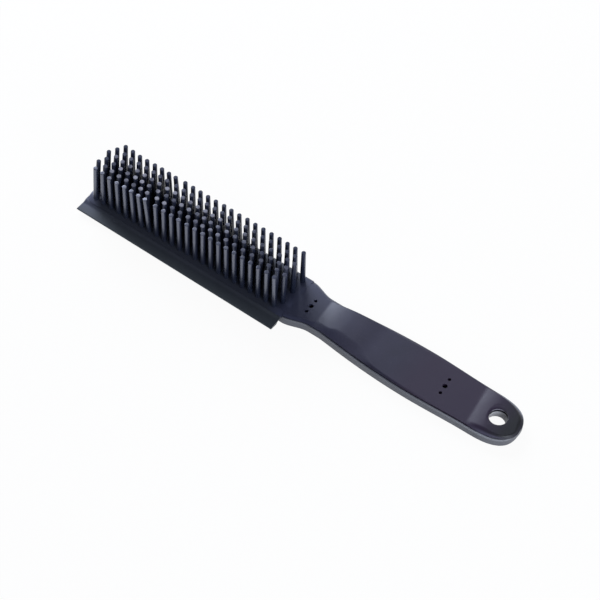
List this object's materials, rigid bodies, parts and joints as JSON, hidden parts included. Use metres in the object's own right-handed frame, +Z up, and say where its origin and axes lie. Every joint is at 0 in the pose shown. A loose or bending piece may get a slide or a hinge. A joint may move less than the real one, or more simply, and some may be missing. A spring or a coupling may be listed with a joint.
{
  "type": "pet hair removal brush",
  "caption": "Long-handled rubber grooming brush with a bed of upright soft tines, a squeegee lip along one side of its head and a hanging hole in its handle.",
  "frame": {"origin": "on the flat back of the brush, on the handle's centre line, halfway along the brush", "axes": "+X along the brush towards the end of the handle, +Y across it away from the squeegee lip, +Z up from the back towards the tips of the tines"},
  "size_m": [0.26, 0.0359, 0.029],
  "materials": {
    "shell_rubber": "satin moulded rubber",
    "body_rubber": "satin moulded rubber",
    "tine_rubber": "satin moulded rubber",
    "core_plastic": "as moulded"
  },
  "bodies": {
    "handle": {"back_shell": "shell_rubber", "core_spine": "core_plastic", "grip_cover": "body_rubber", "tine_pad": "tine_rubber"},
    "blade": {"squeegee_blade": "tine_rubber"}
  },
  "joints": [
    {"name": "squeegee_flex", "type": "hinge", "parent": "handle", "child": "blade", "pos_m": [-0.0665, -0.0142, 0.0021], "axis": [1, 0, 0], "range_deg": [-35, 12], "stiffness_Nm_per_rad": 0.04}
  ]
}
